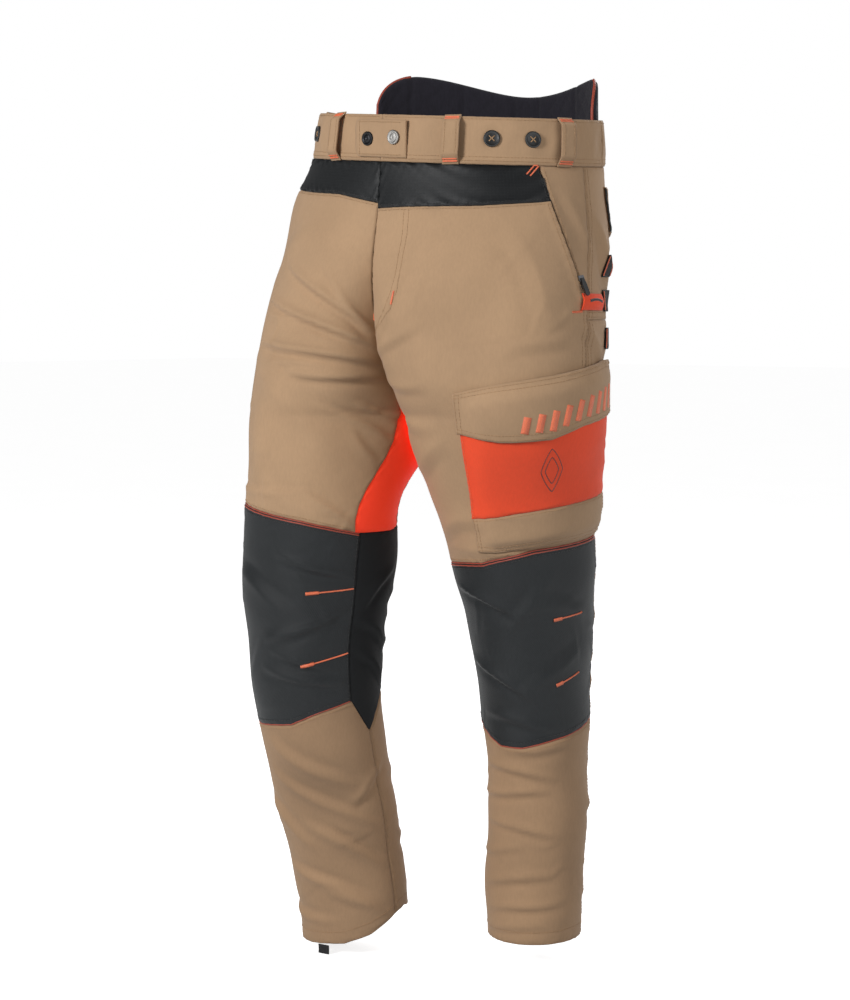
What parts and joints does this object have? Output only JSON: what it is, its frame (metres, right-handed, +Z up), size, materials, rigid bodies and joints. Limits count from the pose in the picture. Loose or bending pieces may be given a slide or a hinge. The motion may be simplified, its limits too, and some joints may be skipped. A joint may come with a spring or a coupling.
{
  "type": "chainsaw protective trousers",
  "caption": "Full-length forestry protective trousers standing hollow as worn, with kidney pad, belt loops, zips, cargo pocket, black knee panels and orange inner thighs.",
  "frame": {"origin": "centre of the waist opening, in the plane of the waistband's top edge", "axes": "+Z up the body, +X to the wearer's left, -Y to the front"},
  "size_m": [0.4986, 0.4022, 1.1056],
  "materials": {
    "canvas_tan": "woven workwear canvas, dyed tan",
    "canvas_brown": "woven workwear canvas, dyed tan, in the shade of the leg",
    "ripstop_black": "coated twill, black",
    "stretch_black": "four-way stretch knit, black",
    "canvas_orange": "woven workwear canvas, dyed red-orange",
    "protection_felt": "layered cut-protection yarn",
    "quilted_lining": "quilted knit over foam",
    "button_plastic": "moulded polyester",
    "stud_black": "lacquered brass press stud",
    "stud_metal": "nickel-plated press stud",
    "zip_tape": "woven polyester tape with moulded coil",
    "zip_metal": "lacquered die-cast slider",
    "puller_plastic": "soft moulded puller",
    "webbing_black": "woven polyester webbing",
    "pocket_lining": "plain-weave pocketing"
  },
  "bodies": {
    "trousers": {"front_yoke_right": "ripstop_black", "front_panel_right": "canvas_tan", "hip_facing_right": "canvas_tan", "side_pocket_bag_right": "pocket_lining", "seat_panel_right": "canvas_tan", "back_thigh_right": "canvas_tan", "thigh_gusset_right": "canvas_orange", "knee_panel_right": "ripstop_black", "knee_inner_right": "stretch_black", "knee_back_right": "canvas_brown", "protection_pad_right": "protection_felt", "front_yoke_left": "ripstop_black", "front_panel_left": "canvas_tan", "hip_facing_left": "canvas_tan", "side_pocket_bag_left": "pocket_lining", "seat_panel_left": "canvas_tan", "back_thigh_left": "canvas_tan", "thigh_gusset_left": "canvas_orange", "knee_panel_left": "ripstop_black", "knee_inner_left": "stretch_black", "knee_back_left": "canvas_brown", "protection_pad_left": "protection_felt", "waistband_right": "canvas_tan", "waistband_left": "canvas_tan", "waistband_back": "canvas_tan", "kidney_pad": "quilted_lining", "belt_loop_front_right": "canvas_tan", "belt_loop_side_right": "canvas_tan", "belt_loop_back_right": "canvas_tan", "belt_loop_front_left": "canvas_tan", "belt_loop_side_left": "canvas_tan", "belt_loop_back_left": "canvas_tan", "belt_loop_centre_back": "canvas_tan", "brace_button_right_1": "button_plastic", "brace_button_right_2": "button_plastic", "brace_button_left_1": "button_plastic", "brace_button_left_2": "button_plastic", "fly_zip_tape": "zip_tape", "side_zip_right_tape": "zip_tape", "side_zip_left_tape": "zip_tape", "cargo_pocket": "canvas_orange"},
    "shin_right": {"shin_front_right": "canvas_brown", "calf_back_right": "canvas_brown"},
    "shin_left": {"shin_front_left": "canvas_brown", "calf_back_left": "canvas_brown"},
    "cargo_flap": {"cargo_flap": "canvas_tan"},
    "waist_tab": {"waist_tab": "canvas_tan", "tab_stud_outer": "stud_black", "tab_stud_inner": "stud_metal"},
    "fly_slider": {"fly_zip_slider": "zip_metal"},
    "fly_puller": {"fly_zip_puller": "puller_plastic"},
    "side_slider_right": {"side_zip_right_slider": "zip_metal"},
    "side_puller_right": {"side_zip_right_puller": "puller_plastic"},
    "back_flap_right": {"back_flap_right": "canvas_tan"},
    "boot_hook_right": {"boot_hook_right": "webbing_black"},
    "side_slider_left": {"side_zip_left_slider": "zip_metal"},
    "side_puller_left": {"side_zip_left_puller": "puller_plastic"},
    "back_flap_left": {"back_flap_left": "canvas_tan"},
    "boot_hook_left": {"boot_hook_left": "webbing_black"}
  },
  "joints": [
    {"name": "knee_flex_right", "type": "hinge", "parent": "trousers", "child": "shin_right", "pos_m": [-0.106, -0.152, -0.61], "axis": [1, 0, 0], "range_deg": [0, 45], "deforming": ["knee_panel_right", "knee_inner_right", "knee_back_right", "protection_pad_right"]},
    {"name": "knee_flex_left", "type": "hinge", "parent": "trousers", "child": "shin_left", "pos_m": [0.104, 0.012, -0.64], "axis": [1, 0, 0], "range_deg": [0, 45], "deforming": ["knee_panel_left", "knee_inner_left", "knee_back_left", "protection_pad_left"]},
    {"name": "cargo_flap_lift", "type": "hinge", "parent": "trousers", "child": "cargo_flap", "pos_m": [0.20452, -0.09417, -0.31276], "axis": [-0.3603, -0.9328, 0], "range_deg": [0, 20]},
    {"name": "waist_tab_swing", "type": "hinge", "parent": "trousers", "child": "waist_tab", "pos_m": [0.04, -0.1506, -0.03401], "axis": [0, 0.0669, 0.9978], "range_deg": [0, 110]},
    {"name": "fly_zip_slide", "type": "slide", "parent": "trousers", "child": "fly_slider", "axis": [0, -0.0748, -0.9972], "range_m": [0, 0.13]},
    {"name": "fly_puller_swing", "type": "hinge", "parent": "fly_slider", "child": "fly_puller", "pos_m": [0, -0.14386, -0.07988], "axis": [-1, 0, 0], "range_deg": [0, 12]},
    {"name": "side_zip_slide_right", "type": "slide", "parent": "trousers", "child": "side_slider_right", "axis": [0.2803, -0.1185, 0.9526], "range_m": [0, 0.115]},
    {"name": "side_puller_swing_right", "type": "hinge", "parent": "side_slider_right", "child": "side_puller_right", "pos_m": [-0.2398, -0.05718, -0.20105], "axis": [-0.3218, 0.9233, 0.2096], "range_deg": [0, 100]},
    {"name": "back_flap_lift_right", "type": "hinge", "parent": "trousers", "child": "back_flap_right", "pos_m": [-0.16251, 0.09311, -0.08966], "axis": [0.7627, 0.6468, 0], "range_deg": [0, 50]},
    {"name": "boot_hook_swing_right", "type": "hinge", "parent": "shin_right", "child": "boot_hook_right", "pos_m": [-0.10917, -0.13588, -1.031], "axis": [-0.9988, -0.0465, -0.0121], "range_deg": [-30, 50]},
    {"name": "side_zip_slide_left", "type": "slide", "parent": "trousers", "child": "side_slider_left", "axis": [-0.3212, -0.1338, 0.9375], "range_m": [0, 0.115]},
    {"name": "side_puller_swing_left", "type": "hinge", "parent": "side_slider_left", "child": "side_puller_left", "pos_m": [0.22816, -0.05434, -0.20077], "axis": [-0.2338, -0.9481, -0.2154], "range_deg": [0, 100]},
    {"name": "back_flap_lift_left", "type": "hinge", "parent": "trousers", "child": "back_flap_left", "pos_m": [0.14628, 0.09307, -0.08988], "axis": [0.7281, -0.6854, 0], "range_deg": [0, 50]},
    {"name": "boot_hook_swing_left", "type": "hinge", "parent": "shin_left", "child": "boot_hook_left", "pos_m": [0.11066, -0.04363, -0.995], "axis": [-0.9975, 0.0703, -0.0061], "range_deg": [-30, 0]}
  ]
}
